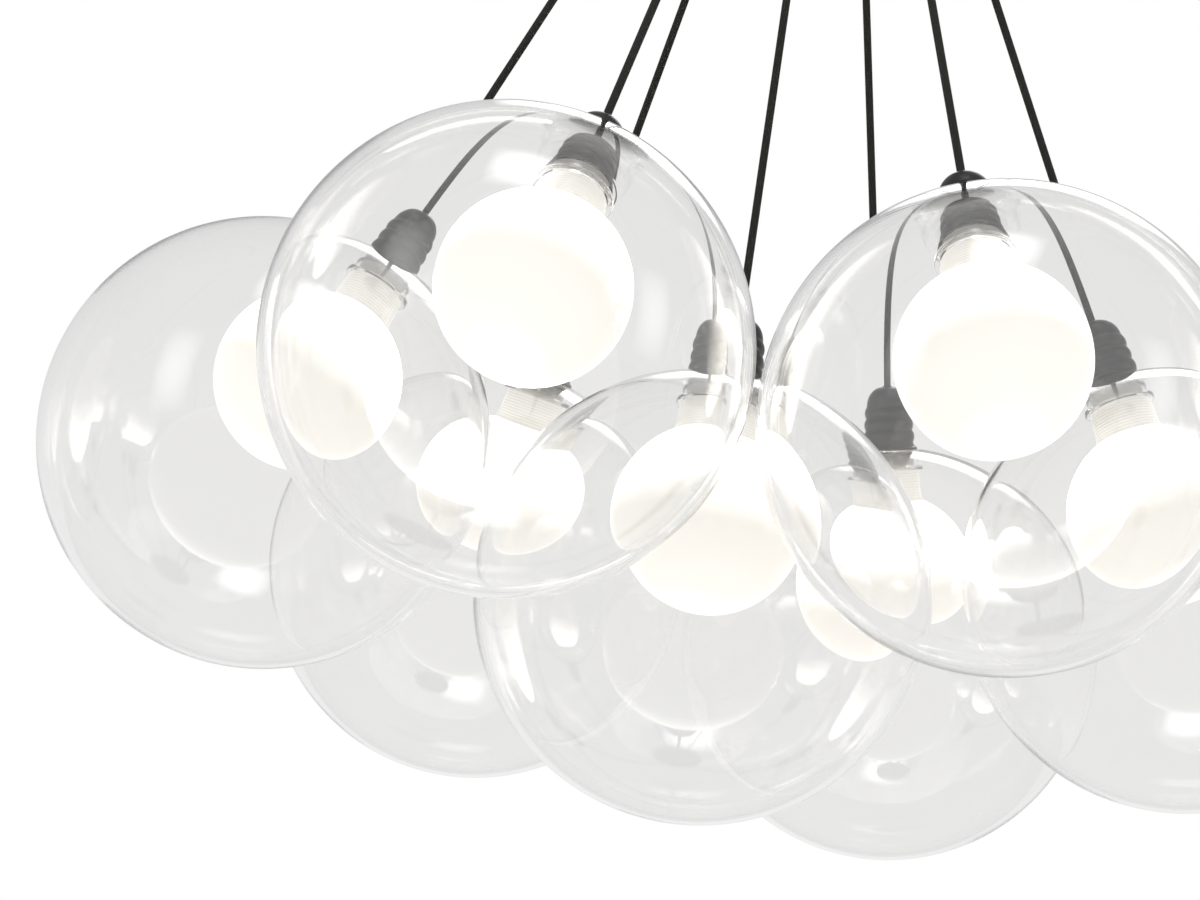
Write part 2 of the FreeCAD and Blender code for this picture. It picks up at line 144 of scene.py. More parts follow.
class PendantSizes(bpy.types.PropertyGroup):
    """Real sizes of one pendant and of the canopy."""

    globe_diameter: length("Globe diameter", "Outside of the clear globe", 300.0)
    globe_wall: length("Globe wall", "Thickness of the clear glass", 4.5)
    globe_rim: length("Globe rim", "Width of the ground mouth", 2.5)
    collar_wall: length("Collar wall", "Thickness of the clear collar inside the mouth", 2.8)
    collar_length: length("Collar length", "From the mouth down to the seal with the opal neck", 16.0)
    seal_width: length("Seal width", "How far the seal ring stands out from the collar", 3.7)
    seal_height: length("Seal height", "Height of the seal ring", 3.0)
    ball_diameter: length("Ball diameter", "Outside of the opal ball", 123.0)
    ball_wall: length("Ball wall", "Thickness of the opal glass", 2.5)
    neck_length: length("Neck length", "From the seal down to the ball", 24.0)
    neck_flare: length("Neck flare", "How much wider the neck is at the ball", 2.2)
    lip_radius: length("Lip radius", "Radius of the holder's lip on the glass", 22.5)
    lip_edge: length("Lip edge", "Upright edge of the holder's lip", 1.6)
    flare: length("Holder flare", "How far the lip stands out from the lowest groove", 3.0)
    flare_height: length("Flare height", "From the glass up to the lowest groove", 5.5)
    holder_height: length("Holder height", "From the glass to the top of the dome", 50.0)
    holder_bore: length("Holder bore", "Radius of the space for the socket", 15.7)
    ring_pitch: length("Ring pitch", "Height of one rounded ring", 9.5)
    ring_bulge: length("Ring bulge", "How far a ring stands out from its grooves", 1.5)
    groove_growth: length("Groove growth", "How much wider each groove is than the one above", 0.7)
    socket_height: length("Socket height", "From the mouth up to the end of the cord", 28.3)
    cord_diameter: length("Cord diameter", "Thickness of the textile cord", 5.5)
    cord_clearance: length("Cord clearance", "Air round the cord in its gland and holder", 0.3)
    block_width: length("Block width", "Width of the terminal block", 44.0)
    ring_count: IntProperty(name="Ring count", description="Rounded rings on a holder", default=3, min=1)


class PendantFinish(bpy.types.PropertyGroup):
    """Colours of the finishes."""

    glass: colour("Clear glass", "Tint of the clear glass", (0.998, 0.997, 0.994))
    opal: colour("Opal glass", "Surface of the opal glass", (0.5, 0.485, 0.455))
    glow_near: colour("Glow at the neck", "Light of the opal ball beside its lamp", (1.0, 0.97, 0.91))
    glow_far: colour("Glow at the pole", "Light of the opal ball at its far end", (1.0, 0.955, 0.875))
    rubber: colour("Rubber", "Black moulded rubber of the holders", (0.010, 0.0095, 0.009))
    textile: colour("Textile", "Black braided textile of the cords", (0.009, 0.009, 0.008))
    paint: colour("Canopy paint", "Black powder coat", (0.02, 0.02, 0.02))
    steel: colour("Steel", "Zinc plated steel", (0.56, 0.57, 0.58))
    brass: colour("Brass", "Plain brass screws", (0.72, 0.52, 0.24))
    moulding: colour("White moulding", "White plastic of the block, sockets and lamps", (0.78, 0.77, 0.73))
    black_moulding: colour("Black moulding", "Black plastic of the glands", (0.022, 0.022, 0.022))


class StudioSettings(bpy.types.PropertyGroup):
    """The place where the pendant is photographed."""

    camera_place: FloatVectorProperty(
        name="Camera place",
        description="Where the camera stands",
        default=(-0.13232, -2.47649, -1.41602),
        size=3,
        subtype="TRANSLATION",
        unit="LENGTH",
    )
    camera_yaw: FloatProperty(
        name="Yaw", description="Turn of the view to the right of +Y", default=math.radians(1.204),
        subtype="ANGLE",
    )
    camera_pitch: FloatProperty(
        name="Pitch", description="Upward tilt of the view", default=math.radians(18.144), subtype="ANGLE"
    )
    camera_roll: FloatProperty(
        name="Roll", description="Turn of the picture about the line of sight", default=math.radians(8.805),
        subtype="ANGLE",
    )
    focal_length: FloatProperty(
        name="Focal length", description="Focal length on a 36 mm wide sensor, in millimetres", default=117.26
    )
    floor_drop: length("Floor drop", "From the ceiling plane down to the floor", 2600.0)
    seen_through_glass: FloatProperty(
        name="Backdrop through glass", description="Brightness of the backdrop behind the glass", default=0.8
    )
    mirrored_in_gloss: FloatProperty(
        name="Studio in reflections", description="Brightness of the studio in reflections", default=0.95
    )
    dark_overhead: FloatProperty(
        name="Dark overhead", description="How much darker reflections are overhead", default=0.5,
        subtype="FACTOR",
    )
    fill_light: FloatProperty(
        name="Fill light", description="Brightness of the soft light from all round", default=0.85
    )


def sizes():
    """The pendant's sizes with those that follow from them. Heights are above the globe's middle."""
    given = bpy.context.scene.pendant_sizes
    s = SimpleNamespace(**{name: getattr(given, name) for name in PendantSizes.__annotations__})
    s.globe_radius = s.globe_diameter / 2
    s.globe_inner_radius = s.globe_radius - s.globe_wall
    s.mouth_z = math.sqrt(s.globe_radius**2 - s.lip_radius**2)
    s.collar_bore = s.lip_radius - s.globe_rim
    s.collar_radius = s.collar_bore + s.collar_wall
    s.collar_end_z = s.mouth_z - s.collar_length
    s.ball_radius = s.ball_diameter / 2
    s.joint_radius = s.collar_radius + s.neck_flare
    s.joint_z = s.collar_end_z - s.neck_length
    s.ball_z = s.joint_z - math.sqrt(s.ball_radius**2 - s.joint_radius**2)
    s.holder_top_z = s.mouth_z + s.holder_height
    s.cord_end_z = s.mouth_z + s.socket_height
    s.cord_radius = s.cord_diameter / 2
    s.cord_bore = s.cord_radius + s.cord_clearance
    return s


def finish():
    """The colours of the finishes."""
    return bpy.context.scene.pendant_finish


# ---- Shader expressions -----------------------------------------------------------------------------------


class Signal:
    """A value in a shader. Arithmetic on it adds Math nodes."""

    def __init__(self, shader, socket):
        self.shader = shader
        self.socket = socket

    def math(self, operation, *values):
        """A Math node on this value and others."""
        return self.shader.node("Math", {"operation": operation}, dict(enumerate((self, *values))))

    def __add__(self, other):
        return self.math("ADD", other)

    def __sub__(self, other):
        return self.math("SUBTRACT", other)

    def __mul__(self, other):
        return self.math("MULTIPLY", other)

    def __truediv__(self, other):
        return self.math("DIVIDE", other)

    def __rsub__(self, other):
        return self.shader.node("Math", {"operation": "SUBTRACT"}, {0: other, 1: self})

    def clamped(self):
        """The value held between 0 and 1."""
        return self.shader.node("Clamp", {}, {"Value": self})

    def sine(self):
        """The sine of the value."""
        return self.math("SINE")


class Shader:
    """The nodes of one material or of the world."""

    def __init__(self, tree):
        self.tree = tree
        tree.nodes.clear()

    def node(self, kind, settings, inputs, output=0):
        """Adds a node, with its settings first and then the values or links of its sockets."""
        made = self.tree.nodes.new("ShaderNode" + kind)
        for name, value in settings.items():
            if name == "stops":
                set_stops(made.color_ramp.elements, value)
            else:
                setattr(made, name, value)
        for name, value in inputs.items():
            if isinstance(value, Signal):
                self.tree.links.new(value.socket, made.inputs[name])
            else:
                made.inputs[name].default_value = value
        return Signal(self, made.outputs[output] if made.outputs else None)

    def mix(self, factor, low, high):
        """A colour between two colours."""
        settings = {"data_type": "RGBA"}
        return self.node("Mix", settings, {"Factor": factor, 6: solid(low), 7: solid(high)}, output=2)

    def object_place(self):
        """Where a point is, in metres."""
        return self.node("TexCoord", {}, {}, output="Object")

    def axial_place(self):
        """Where a point is on its own pendant, with Z along the pendant's axis."""
        return self.node("Attribute", {"attribute_name": AXIAL}, {}, output="Vector")

    def height(self, place):
        """The Z of a place."""
        return self.node("SeparateXYZ", {}, {"Vector": place}, output="Z")

    def noise(self, place, scale, detail=2.0):
        """Soft noise from 0 to 1, with so many waves in a metre."""
        inputs = {"Vector": place, "Scale": scale, "Detail": detail, "Roughness": 0.5}
        return self.node("TexNoise", {}, inputs)

    def bump(self, height, distance):
        """A normal that follows a height."""
        return self.node("Bump", {}, {"Height": height, "Distance": distance, "Strength": 1.0})

    def surface(self, **inputs):
        """Ends the material in a Principled surface, whose sockets are named with underscores."""
        named = {name.replace("_", " "): value for name, value in inputs.items()}
        self.end(self.node("BsdfPrincipled", {}, named))

    def end(self, shading, output="OutputMaterial"):
        """Links the last shader to the output."""
        self.node(output, {}, {"Surface": shading})


def set_stops(elements, stops):
    """Sets the grey stops of a ramp, each as its place and its level."""
    while len(elements) < len(stops):
        elements.new(1.0)
    for element, (place, level) in zip(elements, stops):
        element.position = place
        element.color = (level, level, level, 1.0)


def solid(value):
    """A colour with its alpha, or a link as it is."""
    return value if isinstance(value, Signal) else (*value, 1.0)


def material(name):
    """A new material and its shader."""
    made = bpy.data.materials.new(name)
    made.use_nodes = True
    return made, Shader(made.node_tree)


# ---- Materials --------------------------------------------------------------------------------------------


def shade(value, factor):
    """A colour made lighter or darker."""
    return tuple(min(1.0, part * factor) for part in value)


def clear_glass():
    """Clear blown glass with faint waves in its wall."""
    made, shader = material("clear_glass")
    place = shader.object_place()
    tint = finish().glass
    waves = shader.noise(place, 7.0, detail=1.0)
    shader.surface(
        Base_Color=shader.mix(waves, tint, shade(tint, 0.995)),
        Roughness=0.0,
        IOR=GLASS_IOR,
        Transmission_Weight=1.0,
        Normal=shader.bump(waves, 0.4 * MM),
    )
    return made


def opal_glass():
    """Opal glass lit by its lamp: brightest beside the neck and creamy lower down."""
    made, shader = material("opal_glass")
    s = sizes()
    place = shader.axial_place()
    pole_z = s.ball_z - s.ball_radius
    up_the_ball = ((shader.height(place) - pole_z) / (s.joint_z - pole_z)).clamped()
    near, far = finish().glow_near, finish().glow_far
    brightness = shader.node("ValToRGB", {"stops": GLOW_STOPS}, {"Fac": up_the_ball})
    neck_share = (shader.height(place) - s.joint_z) / s.neck_length
    threads = (neck_share * (math.tau * NECK_THREADS)).sine() * THREAD_DEPTH + THREAD_LIGHT
    on_the_neck = (neck_share * THREAD_ONSET).clamped()
    glow = brightness * (1 - on_the_neck * (1 - threads))
    cloud = shader.noise(place, 30.0)
    shader.surface(
        Base_Color=shader.mix(cloud, finish().opal, shade(finish().opal, 0.97)),
        Roughness=0.12,
        IOR=GLASS_IOR,
        Emission_Color=shader.mix(glow, (0.0, 0.0, 0.0), shader.mix(up_the_ball, far, near)),
        Emission_Strength=6.0,
    )
    return made


def black_rubber():
    """Satin black moulded rubber with a fine grain."""
    made, shader = material("black_rubber")
    place = shader.object_place()
    grain = shader.noise(place, 1400.0, detail=3.0)
    patches = shader.noise(place, 60.0)
    black = finish().rubber
    shader.surface(
        Base_Color=shader.mix(patches, black, shade(black, 1.5)),
        Roughness=patches * 0.12 + 0.3,
        Specular_IOR_Level=0.4,
        Normal=shader.bump(grain, 0.02 * MM),
    )
    return made


def braided_textile():
    """Black braided textile: crossing strands run diagonally round the cord."""
    made, shader = material("black_textile")
    around_and_along = shader.node("TexCoord", {}, {}, output="UV")
    around = shader.node("SeparateXYZ", {}, {"Vector": around_and_along}, output="X")
    along = shader.node("SeparateXYZ", {}, {"Vector": around_and_along}, output="Y")
    strands = CORD_STRANDS * math.tau
    rising = (around * strands + along * strands).sine()
    falling = (around * strands - along * strands).sine()
    crossings = rising * falling * 0.5 + 0.5
    fuzz = shader.noise(shader.object_place(), 2500.0, detail=3.0)
    black = finish().textile
    # The raised crossings of the strands are painted lighter and the gaps between them darker (painted sheen
    # and painted shade on the braid), speckled by the fuzz of the fibres.
    shader.surface(
        Base_Color=shader.mix(crossings * fuzz, black, shade(black, 6.0)),
        Roughness=0.85,
        Specular_IOR_Level=0.2,
        Normal=shader.bump(crossings + fuzz * 0.4, 0.16 * MM),
    )
    return made


def powder_coat():
    """Black powder coat with a soft orange-peel texture."""
    made, shader = material("black_metal")
    place = shader.object_place()
    peel = shader.noise(place, 420.0, detail=1.0)
    wear = shader.noise(place, 12.0, detail=3.0)
    black = finish().paint
    shader.surface(
        Base_Color=shader.mix(wear, black, shade(black, 1.4)),
        Roughness=wear * 0.12 + 0.4,
        Normal=shader.bump(peel, 0.03 * MM),
    )
    return made


def metal(name, value, roughness):
    """Bare metal with drawn lines along Y."""
    made, shader = material(name)
    drawn = shader.node("Mapping", {}, {"Vector": shader.object_place(), "Scale": (60.0, 1.0, 60.0)})
    lines = shader.noise(drawn, 30.0, detail=4.0)
    stains = shader.noise(shader.object_place(), 80.0)
    shader.surface(
        Base_Color=shader.mix(stains, value, shade(value, 0.82)),
        Metallic=1.0,
        Roughness=lines * 0.2 + roughness,
        Normal=shader.bump(lines, 0.01 * MM),
    )
    return made


def moulding(name, value, roughness):
    """Moulded plastic with a fine texture."""
    made, shader = material(name)
    place = shader.object_place()
    texture = shader.noise(place, 1600.0, detail=2.0)
    flow = shader.noise(place, 25.0)
    shader.surface(
        Base_Color=shader.mix(flow, value, shade(value, 0.9)),
        Roughness=flow * 0.08 + roughness,
        Normal=shader.bump(texture, 0.015 * MM),
    )
    return made


# ---- Shaping ----------------------------------------------------------------------------------------------


def arc(centre_z, radius, start, end, steps):
    """(radius, z) points of an arc about (0, centre_z). Angles are measured from the top."""
    angles = [start + (end - start) * i / steps for i in range(steps + 1)]
    return [(radius * math.sin(a), centre_z + radius * math.cos(a)) for a in angles]


def bow(start, end, bulge, steps):
    """(radius, z) points of a shallow bow between two points, bulging to the right of the way."""
    points = []
    along = Vector(end) - Vector(start)
    outward = Vector((along.y, -along.x)).normalized()
    for i in range(steps + 1):
        share = i / steps
        height = 4 * bulge * share * (1 - share)
        points.append(tuple(Vector(start) + along * share + outward * height))
    return points


def spun(profile, segments):
    """A bmesh with the profile turned about Z, closed where its ends meet or are on the axis."""
    bm = bmesh.new()
    points = [bm.verts.new((radius, 0.0, z)) for radius, z in profile]
    edges = [bm.edges.new(pair) for pair in zip(points, points[1:])]
    bmesh.ops.spin(
        bm, geom=points + edges, cent=(0, 0, 0), axis=(0, 0, 1), angle=math.tau, steps=segments,
        use_merge=True,
    )
    bmesh.ops.remove_doubles(bm, verts=bm.verts, dist=MERGE_DISTANCE)
    bmesh.ops.recalc_face_normals(bm, faces=bm.faces)
    return bm


def soften_edges(bm, width, segments):
    """Rounds every sharp edge."""
    sharp = [edge for edge in bm.edges if edge.calc_face_angle(0.0) > ROUNDED_ANGLE]
    bmesh.ops.bevel(
        bm, geom=sharp, offset=width, segments=segments, affect="EDGES", profile=0.5, material=-1,
        clamp_overlap=True,
    )


def keep_axial_place(mesh):
    """Stores where each point is on its own pendant, before the mesh is put in its place."""
    places = mesh.attributes.new(AXIAL, "FLOAT_VECTOR", "POINT")
    places.data.foreach_set("vector", [part for vertex in mesh.vertices for part in vertex.co])


def piece(name, bm, surface, matrix):
    """Makes an object of a bmesh, smooth between its sharp edges, with its place in its mesh."""
    mesh = bpy.data.meshes.new(name)
    bm.to_mesh(mesh)
    bm.free()
    keep_axial_place(mesh)
    mesh.shade_smooth()
    mesh.set_sharp_from_angle(angle=CREASE_ANGLE)
    mesh.transform(matrix)
    mesh.materials.append(surface)
    made = bpy.data.objects.new(name, mesh)
    bpy.context.scene.collection.objects.link(made)
    return made


def dress(names, surface):
    """Gives CAD nodes a material."""
    for name in names:
        node = frame["nodes"][name]
        node.data.materials.clear()
        node.data.materials.append(surface)


def axis_of(pendant):
    """The unit vector from a globe's middle up to its gland."""
    return Vector(JOINTS[f"twist_{pendant}"]["axis"]).normalized()


def pendant_matrix(pendant):
    """The place of a pendant: its own Z runs along its axis, from the globe's middle."""
    axis = axis_of(pendant)
    middle = Vector(JOINTS[f"twist_{pendant}"]["pos_m"]) - axis * sizes().cord_end_z
    turn = Vector((0, 0, 1)).rotation_difference(axis).to_matrix().to_4x4()
    return Matrix.Translation(middle) @ turn


def pivot_of(pendant):
    """The point in the gland where a cord bends."""
    return Vector(JOINTS[f"swing_{pendant}"]["pos_m"])


# ---- Pieces of a pendant ----------------------------------------------------------------------------------


def globe_profile(s):
    """Outside, ground mouth, collar, seal ring and inside of the clear globe."""
    mouth_angle = math.asin(s.lip_radius / s.globe_radius)
    collar_angle = math.asin(s.collar_radius / s.globe_inner_radius)
    seal_radius = s.collar_radius + s.seal_width
    outside = arc(0, s.globe_radius, math.pi, mouth_angle, GLOBE_STEPS)
    inside = arc(0, s.globe_inner_radius, collar_angle, math.pi, GLOBE_STEPS)
    collar = [
        (s.collar_bore, s.mouth_z),
        (s.collar_bore, s.collar_end_z),
        (seal_radius, s.collar_end_z),
        (seal_radius, s.collar_end_z + s.seal_height),
        (s.collar_radius, s.collar_end_z + s.seal_height),
    ]
    return [(0.0, -s.globe_radius), *outside[1:], *collar, *inside[:-1], (0.0, -s.globe_inner_radius)]


def ball_profile(s):
    """Outside, threaded neck and inside of the opal ball."""
    joint_angle = math.asin(s.joint_radius / s.ball_radius)
    inner_radius = s.ball_radius - s.ball_wall
    inner_angle = math.asin((s.joint_radius - s.ball_wall) / inner_radius)
    top_z = s.collar_end_z - GLASS_SEAM
    outside = arc(s.ball_z, s.ball_radius, math.pi, joint_angle, BALL_STEPS)
    inside = arc(s.ball_z, inner_radius, inner_angle, math.pi, BALL_INSIDE_STEPS)
    neck = []
    for i in range(NECK_THREADS):
        low, high = i / NECK_THREADS, (i + 1) / NECK_THREADS
        start = (s.joint_radius - s.neck_flare * low**0.5, s.joint_z + (top_z - s.joint_z) * low)
        end = (s.joint_radius - s.neck_flare * high**0.5, s.joint_z + (top_z - s.joint_z) * high)
        neck += bow(start, end, THREAD_BOW, THREAD_STEPS)[1:]
    neck_top = (s.collar_radius - s.ball_wall, top_z)
    pole, inside_pole = (0.0, s.ball_z - s.ball_radius), (0.0, s.ball_z - inner_radius)
    return [pole, *outside[1:], *neck, neck_top, *inside[:-1], inside_pole]


def holder_profile(s):
    """Flared lip, rounded rings and dome outside; cord hole, grip and socket space inside."""
    lip_z = s.mouth_z + LIP_SEAM
    groove_radius = s.lip_radius - s.flare
    groove_z = s.mouth_z + s.flare_height
    lip_top = (s.lip_radius, s.mouth_z + s.lip_edge)
    profile = [(s.holder_bore, lip_z), (s.lip_radius, lip_z)]
    profile += bow(lip_top, (groove_radius, groove_z), LIP_BOW, LIP_STEPS)
    for _ in range(s.ring_count):
        end = (groove_radius - s.groove_growth, groove_z + s.ring_pitch)
        profile += bow((groove_radius, groove_z), end, s.ring_bulge, RING_STEPS)[1:]
        groove_radius, groove_z = end
    mouth_radius = s.cord_bore + MOUTH_WALL
    width = groove_radius - mouth_radius
    height = s.holder_top_z - MOUTH_STEP - groove_z
    for i in range(1, DOME_STEPS + 1):
        angle = math.pi / 2 * i / DOME_STEPS
        profile.append((mouth_radius + width * math.cos(angle), groove_z + height * math.sin(angle)))
    profile.append((mouth_radius - MOUTH_STEP, s.holder_top_z))
    socket_top_z = s.cord_end_z - s.cord_clearance
    grip_bore = s.cord_bore + GRIP_WALL
    grip_top_z = s.cord_end_z + GRIP_HEIGHT
    profile += [
        (s.cord_bore, s.holder_top_z),
        (s.cord_bore, grip_top_z),
        (grip_bore, grip_top_z),
        (grip_bore, socket_top_z),
        (s.holder_bore, socket_top_z),
        (s.holder_bore, lip_z),
    ]
    return profile


def spline_route(points):
    """The line of a smooth spline with these control points."""
    curve = bpy.data.curves.new("route", "CURVE")
    curve.dimensions = "3D"
    spline = curve.splines.new("NURBS")
    spline.points.add(len(points) - 1)
    for control, point in zip(spline.points, points):
        control.co = (*point, 1.0)
    spline.order_u = 3
    spline.use_endpoint_u = True
    carrier = bpy.data.objects.new("route", curve)
    mesh = bpy.data.meshes.new_from_object(carrier)
    line = [vertex.co.copy() for vertex in mesh.vertices]
    bpy.data.objects.remove(carrier)
    bpy.data.curves.remove(curve)
    bpy.data.meshes.remove(mesh)
    return line


def cord_profile(s, heights):
    """A tube through the given heights with a half ball on top and a square lower end."""
    top_z = heights[0]
    profile = arc(top_z, s.cord_radius, 0.0, math.pi / 2, CORD_TOP_STEPS)
    profile += [(s.cord_radius, z) for z in heights[1:]]
    return [(0.0, top_z + s.cord_radius), *profile[1:], (0.0, heights[-1])]


def sweep(bm, line, radius, sides):
    """Adds a tube along a line, with UV: X is the share of a turn, Y the way along in girths."""
    share = bm.verts.layers.float.get("share") or bm.verts.layers.float.new("share")
    way = bm.verts.layers.float.get("way") or bm.verts.layers.float.new("way")
    facing = line[1] - line[0]
    upright = Vector((0, 0, 1)).rotation_difference(facing).to_matrix().to_4x4()
    start = Matrix.Translation(line[0]) @ upright
    ring = bmesh.ops.create_circle(bm, cap_ends=True, segments=sides, radius=radius, matrix=start)["verts"]
    for i, vertex in enumerate(ring):
        vertex[share] = i / sides
    edges = {edge for vertex in ring for edge in vertex.link_edges}
    walls = []
    walked = 0.0
    for i in range(1, len(line)):
        step = line[i] - line[i - 1]
        onward = line[i + 1] - line[i] if i + 1 < len(line) else step
        new_facing = step.normalized() + onward.normalized()
        added = bmesh.ops.extrude_edge_only(bm, edges=list(edges))["geom"]
        ring = [part for part in added if isinstance(part, bmesh.types.BMVert)]
        rims = [part for part in added if isinstance(part, bmesh.types.BMEdge)]
        edges = [edge for edge in rims if set(edge.verts) <= set(ring)]
        walls += [part for part in added if isinstance(part, bmesh.types.BMFace)]
        bmesh.ops.translate(bm, verts=ring, vec=step)
        turn = facing.rotation_difference(new_facing).to_matrix()
        bmesh.ops.rotate(bm, verts=ring, cent=line[i], matrix=turn)
        facing = new_facing
        walked += step.length
        for vertex in ring:
            vertex[way] = walked / (math.tau * radius)
    bmesh.ops.edgeloop_fill(bm, edges=list(edges))
    layer = bm.loops.layers.uv.get(UV_LAYER) or bm.loops.layers.uv.new(UV_LAYER)
    for face in walls:
        at_seam = max(vertex[share] for vertex in face.verts) > SEAM_FROM
        for loop in face.loops:
            around = loop.vert[share]
            loop[layer].uv = (around + 1.0 if at_seam and around < SEAM_TO else around, loop.vert[way])
    bmesh.ops.recalc_face_normals(bm, faces=bm.faces)


def wrap_uv(bm, radius):
    """UV for a tube about Z: X is the share of a turn, Y the height in girths."""
    layer = bm.loops.layers.uv.new(UV_LAYER)
    girth = math.tau * radius
    for face in bm.faces:
        centre = face.calc_center_median()
        middle = math.atan2(centre.y, centre.x)
        for loop in face.loops:
            co = loop.vert.co
            turn = math.atan2(co.y, co.x) - middle if co.xy.length > AXIS_DISTANCE else 0.0
            turn = (turn + math.pi) % math.tau - math.pi
            loop[layer].uv = ((middle + turn) / math.tau, co.z / girth)


# ---- Operators --------------------------------------------------------------------------------------------


class PENDANT_OT_stage(bpy.types.Operator):
    """Sets up the camera, the backdrop, the floor and the lamps"""

    bl_idname = "pendant.stage"
    bl_label = "Stage"

    def execute(self, context):
        scene = context.scene
        scene.view_settings.view_transform = "Standard"
        scene.cycles.max_bounces = LIGHT_BOUNCES
        scene.cycles.transmission_bounces = LIGHT_BOUNCES
        scene.cycles.glossy_bounces = MIRROR_BOUNCES
        studio = scene.pendant_studio
        make_camera(studio)
        make_backdrop(studio)
        make_floor(studio)
        make_lamps(studio)
        return {"FINISHED"}


def make_camera(studio):
    """The camera at the photograph's viewing angle."""
    data = bpy.data.cameras.new("camera")
    data.sensor_width = 36.0
    data.lens = studio.focal_length
    data.clip_start = 0.01
    camera = bpy.data.objects.new("camera", data)
    yaw, pitch, roll = studio.camera_yaw, studio.camera_pitch, studio.camera_roll
    forward = Vector((math.sin(yaw) * math.cos(pitch), math.cos(yaw) * math.cos(pitch), math.sin(pitch)))
    level_right = Vector((math.cos(yaw), -math.sin(yaw), 0.0))
    level_up = level_right.cross(forward)
    right = level_right * math.cos(roll) + level_up * math.sin(roll)
    up = level_up * math.cos(roll) - level_right * math.sin(roll)
    turn = Matrix((right, up, -forward)).transposed().to_4x4()
    camera.matrix_world = Matrix.Translation(studio.camera_place) @ turn
    bpy.context.scene.collection.objects.link(camera)
    bpy.context.scene.camera = camera


def make_backdrop(studio):
    """White to the camera, light grey behind glass, and a soft fill for everything else."""
    world = bpy.data.worlds.new("backdrop")
    world.use_nodes = True
    bpy.context.scene.world = world
    shader = Shader(world.node_tree)
    to_camera = shader.node("LightPath", {}, {}, output="Is Camera Ray")
    through_glass = shader.node("LightPath", {}, {}, output="Is Transmission Ray")
    mirrored = shader.node("LightPath", {}, {}, output="Is Glossy Ray")
    direct = 1 - through_glass
    direction = shader.node("TexCoord", {}, {}, output="Generated")
    overhead = (shader.height(direction) * OVERHEAD_SLOPE).clamped()
    strength = (
        to_camera
        + through_glass * studio.seen_through_glass
        + direct * mirrored * (1 - overhead * studio.dark_overhead) * studio.mirrored_in_gloss
        + direct * (1 - mirrored) * (1 - to_camera) * studio.fill_light
    )
    white = shader.node("Background", {}, {"Color": (1.0, 1.0, 1.0, 1.0), "Strength": strength})
    shader.end(white, "OutputWorld")


def make_floor(studio):
    """A pale floor that lets the view through from below."""
    bm = bmesh.new()
    bmesh.ops.create_circle(bm, cap_ends=True, segments=FLOOR_SEGMENTS, radius=FLOOR_RADIUS)
    made, shader = material("floor")
    place = shader.object_place()
    pale = shader.mix(shader.noise(place, 2.0), (0.88, 0.88, 0.875), (0.91, 0.91, 0.905))
    matt = shader.node("BsdfDiffuse", {}, {"Color": pale})
    clear = shader.node("BsdfTransparent", {}, {})
    below = shader.node("NewGeometry", {}, {}, output="Backfacing")
    shader.end(shader.node("MixShader", {}, {0: below, 1: matt, 2: clear}))
    floor = piece("floor", bm, made, Matrix.Translation((0.0, 0.0, -studio.floor_drop)))


def make_lamps(studio):
    """Large lamps round the pendant that fade towards their edges, as cloth in front of a lamp does."""
    target = Vector((0.0, 0.0, -0.6))
    # name, place, width, height, power in watts, whether it shows through glass
    for name, place, width, height, power, seen_through_glass in (
        ("lamp_left", (-2.4, -2.0, 0.1), 1.1, 2.2, 12.0, False),
        ("lamp_right", (2.6, -1.6, 0.1), 1.0, 2.0, 9.0, False),
        ("lamp_top", (-0.3, -1.2, 1.9), 1.2, 1.2, 9.0, True),
        ("lamp_back", (0.6, 2.8, 2.4), 2.4, 1.4, 25.0, False),
    ):
        data = bpy.data.lights.new(name, "AREA")
        data.shape = "RECTANGLE"
        data.size = width
        data.size_y = height
        data.energy = power
        fade_to_edges(data)
        lamp = bpy.data.objects.new(name, data)
        facing = (target - Vector(place)).to_track_quat("-Z", "Y").to_matrix().to_4x4()
        lamp.matrix_world = Matrix.Translation(place) @ facing
        lamp.visible_camera = False
        lamp.visible_transmission = seen_through_glass
        bpy.context.scene.collection.objects.link(lamp)


def fade_to_edges(data):
    """Makes a lamp brightest in its middle."""
    data.use_nodes = True
    shader = Shader(data.node_tree)
    across = shader.node("NewGeometry", {}, {}, output="Parametric")
    u = shader.node("SeparateXYZ", {}, {"Vector": across}, output="X")
    v = shader.node("SeparateXYZ", {}, {"Vector": across}, output="Y")
    fade = u * (1 - u) * v * (1 - v) * LAMP_FADE
    shader.end(shader.node("Emission", {}, {"Strength": fade}), "OutputLight")


class PENDANT_OT_cords(bpy.types.Operator):
    """Builds the seven taut textile cords and their ends inside the canopy"""

    bl_idname = "pendant.cords"
    bl_label = "Cords"

    def execute(self, context):
        s = sizes()
        surface = braided_textile()
        for pendant in PENDANTS:
            axis = axis_of(pendant)
            matrix = pendant_matrix(pendant)
            pivot = pivot_of(pendant)
            end = matrix @ Vector((0, 0, s.cord_end_z))
            straight = 6 * s.cord_diameter
            route = spline_route([pivot, pivot - axis * straight, end + axis * straight, end])
            heights = [(matrix.inverted() @ point).z for point in route]
            bm = spun(cord_profile(s, heights), CORD_SEGMENTS)
            wrap_uv(bm, s.cord_radius)
            cord = piece(f"braided_cord_{pendant}", bm, surface, matrix)
            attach(cord, f"swing_{pendant}")
            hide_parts(f"cord_{pendant}")
            (pivot - end).length
        make_cord_ends(s, surface)
        return {"FINISHED"}


